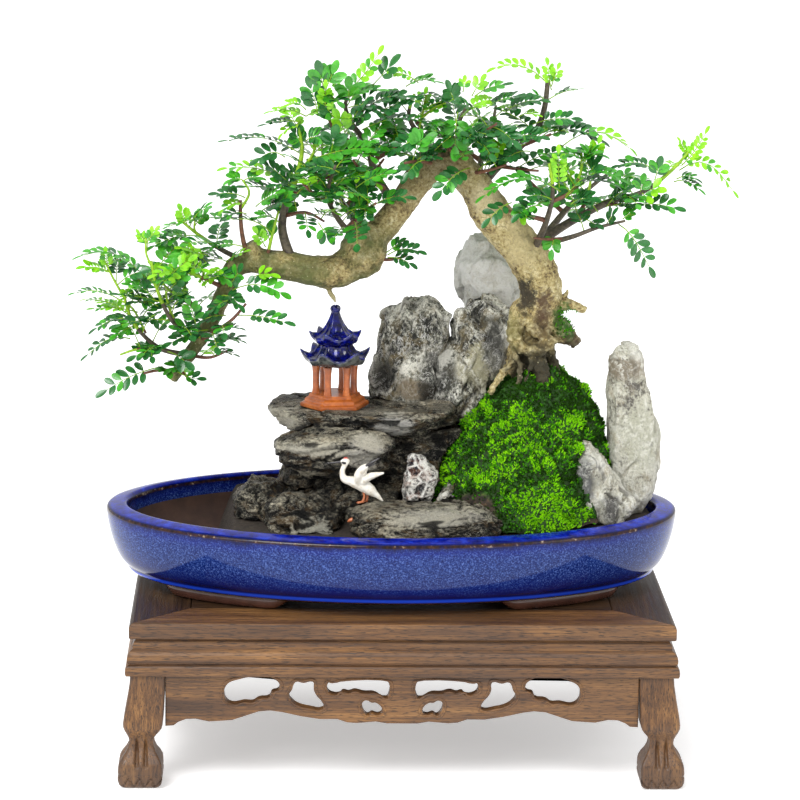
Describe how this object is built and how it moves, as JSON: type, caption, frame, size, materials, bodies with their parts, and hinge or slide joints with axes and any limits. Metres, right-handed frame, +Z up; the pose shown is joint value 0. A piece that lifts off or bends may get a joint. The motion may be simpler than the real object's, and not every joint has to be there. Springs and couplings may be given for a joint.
{
  "type": "bonsai tree",
  "caption": "Cascading Pistacia weinmannifolia bonsai on a moss mound among stacked stones, with a tiny pavilion and crane, in a glazed oval tray on a carved wooden stand",
  "frame": {"origin": "on the resting plane under the middle of the whole piece's bounding box, at the soles of the stand's feet", "axes": "+X runs along the tray towards the side that the trunk stands on, +Y is away from the viewer, +Z is up along the growing direction"},
  "size_m": [0.5256, 0.2906, 0.5502],
  "materials": {
    "stand_wood": "satin",
    "pot_glaze": "gloss",
    "soil": "matte",
    "moss": "matte",
    "bark": "matte",
    "foliage": "satin",
    "stone_dark": "matte",
    "stone_grey": "matte",
    "stone_pale": "matte",
    "terracotta": "satin",
    "roof_glaze": "gloss",
    "crane_glaze": "gloss",
    "crane_leg_glaze": "gloss"
  },
  "bodies": {
    "root": {"stand_rail_front": "stand_wood", "stand_rail_back": "stand_wood", "stand_rail_left": "stand_wood", "stand_rail_right": "stand_wood", "stand_waist_front": "stand_wood", "stand_waist_back": "stand_wood", "stand_waist_left": "stand_wood", "stand_waist_right": "stand_wood", "stand_top_panel": "stand_wood", "stand_apron_front": "stand_wood", "stand_apron_back": "stand_wood", "stand_apron_right": "stand_wood", "stand_apron_left": "stand_wood", "stand_leg_front_left": "stand_wood", "stand_leg_front_right": "stand_wood", "stand_leg_back_left": "stand_wood", "stand_leg_back_right": "stand_wood", "pot": "pot_glaze", "soil_bed": "soil", "stone_small_right": "stone_pale", "moss_mound": "moss", "stone_lying_left": "stone_dark", "stone_front_low": "stone_dark", "stone_front_slab": "stone_dark", "stone_back_low": "stone_dark", "stone_wall": "stone_dark", "stone_veined": "stone_grey", "stone_grey_small": "stone_dark", "stone_middle": "stone_grey", "stone_ledge": "stone_dark", "stone_upright_left": "stone_grey", "stone_upright_right": "stone_grey", "stone_peak": "stone_pale", "stone_pillar": "stone_pale", "trunk": "bark", "pavilion_base": "terracotta", "pavilion_roof": "roof_glaze", "crane_body": "crane_glaze", "crane_legs": "crane_leg_glaze", "spray_tail_tip": "foliage", "spray_tail_outer": "foliage", "spray_tail_upright": "foliage", "spray_tail_inner": "foliage", "spray_tail_back": "foliage", "spray_branch_end": "foliage", "spray_left_shoots": "foliage", "spray_middle_left": "foliage", "spray_middle_low": "foliage", "spray_middle_back": "foliage", "spray_middle_top": "foliage", "spray_knob_twig": "foliage", "spray_apex": "foliage", "spray_crown": "foliage", "spray_crown_right": "foliage", "spray_crown_back": "foliage", "spray_right_upright": "foliage", "spray_right_tip": "foliage", "spray_right_low": "foliage", "spray_right_back": "foliage"}
  },
  "joints": []
}
